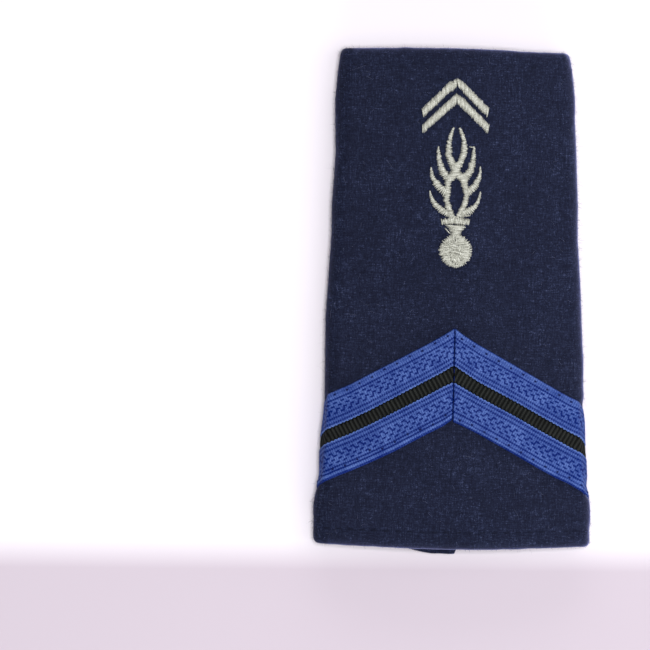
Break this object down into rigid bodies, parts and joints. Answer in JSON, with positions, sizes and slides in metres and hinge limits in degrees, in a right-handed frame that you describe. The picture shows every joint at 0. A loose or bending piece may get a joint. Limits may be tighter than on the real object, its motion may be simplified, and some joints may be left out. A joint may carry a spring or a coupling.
{
  "type": "rank slide",
  "caption": "Cloth shoulder rank slide: a flat tapered tube with a mitred blue and black braid and a silver embroidered grenade under chevrons.",
  "frame": {"origin": "on the table under the centre of the slide's bounding box, where its back rests", "axes": "+Y along the slide towards its narrow end, +Z out of its front, +X to the right as the front is seen with the narrow end up"},
  "size_m": [0.0555, 0.1008, 0.0112],
  "materials": {
    "wool_cloth": "felted navy wool, matt",
    "blue_braid": "woven mid blue, soft sheen",
    "black_braid": "ribbed black, soft sheen",
    "silver_thread": "silver grey embroidery thread, satin"
  },
  "bodies": {
    "root": {"black_stripe_left": "black_braid", "black_stripe_right": "black_braid", "flame_core": "silver_thread", "flame_tongue_left_1": "silver_thread", "flame_tongue_left_2": "silver_thread", "flame_tongue_left_3": "silver_thread", "flame_tongue_right_1": "silver_thread", "flame_tongue_right_2": "silver_thread", "flame_tongue_right_3": "silver_thread", "grenade_ball": "silver_thread", "grenade_collar": "silver_thread", "grenade_neck": "silver_thread", "inner_band_left": "blue_braid", "inner_band_right": "blue_braid", "lower_chevron": "silver_thread", "outer_band_left": "blue_braid", "outer_band_right": "blue_braid", "sleeve": "wool_cloth", "upper_chevron": "silver_thread"}
  },
  "joints": []
}
